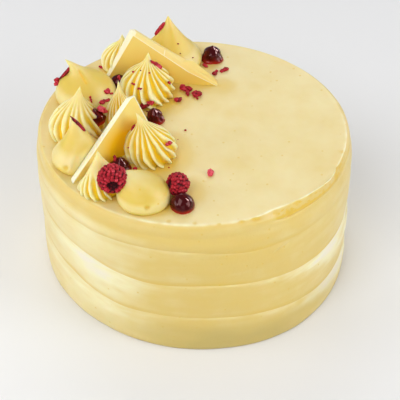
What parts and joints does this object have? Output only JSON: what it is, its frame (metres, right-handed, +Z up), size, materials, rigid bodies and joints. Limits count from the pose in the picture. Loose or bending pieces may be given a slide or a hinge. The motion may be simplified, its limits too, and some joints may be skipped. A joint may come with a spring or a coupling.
{
  "type": "white chocolate cake",
  "caption": "Round iced white chocolate cake with a banded side, topped at one side with piped kisses and swirls, chocolate shards, jam dots and raspberries.",
  "frame": {"origin": "middle of the flat base, on the surface that the cake stands on", "axes": "+Z up, +X to the right and +Y away from someone who looks at the front"},
  "size_m": [0.218, 0.212, 0.1501],
  "materials": {
    "icing": "smooth pale yellow buttercream, scraped level, satin",
    "buttercream": "soft piped pale yellow buttercream, satin",
    "white_chocolate": "smooth ivory chocolate with paler broken edges, satin",
    "jam": "dark red berry jam, wet gloss",
    "raspberry": "dry crimson fruit, matte"
  },
  "bodies": {
    "root": {"cake_body": "icing", "kiss_front_left": "buttercream", "kiss_front": "buttercream", "kiss_left": "buttercream", "kiss_rear": "buttercream", "swirl_right": "buttercream", "swirl_centre": "buttercream", "swirl_front": "buttercream", "swirl_left": "buttercream", "swirl_slim": "buttercream", "swirl_rear": "buttercream", "shard_rear": "white_chocolate", "shard_front": "white_chocolate", "jam_rear": "jam", "jam_behind": "jam", "jam_left": "jam", "jam_middle": "jam", "jam_front_left": "jam", "jam_front_right": "jam", "raspberry_left": "raspberry", "raspberry_right": "raspberry"}
  },
  "joints": []
}
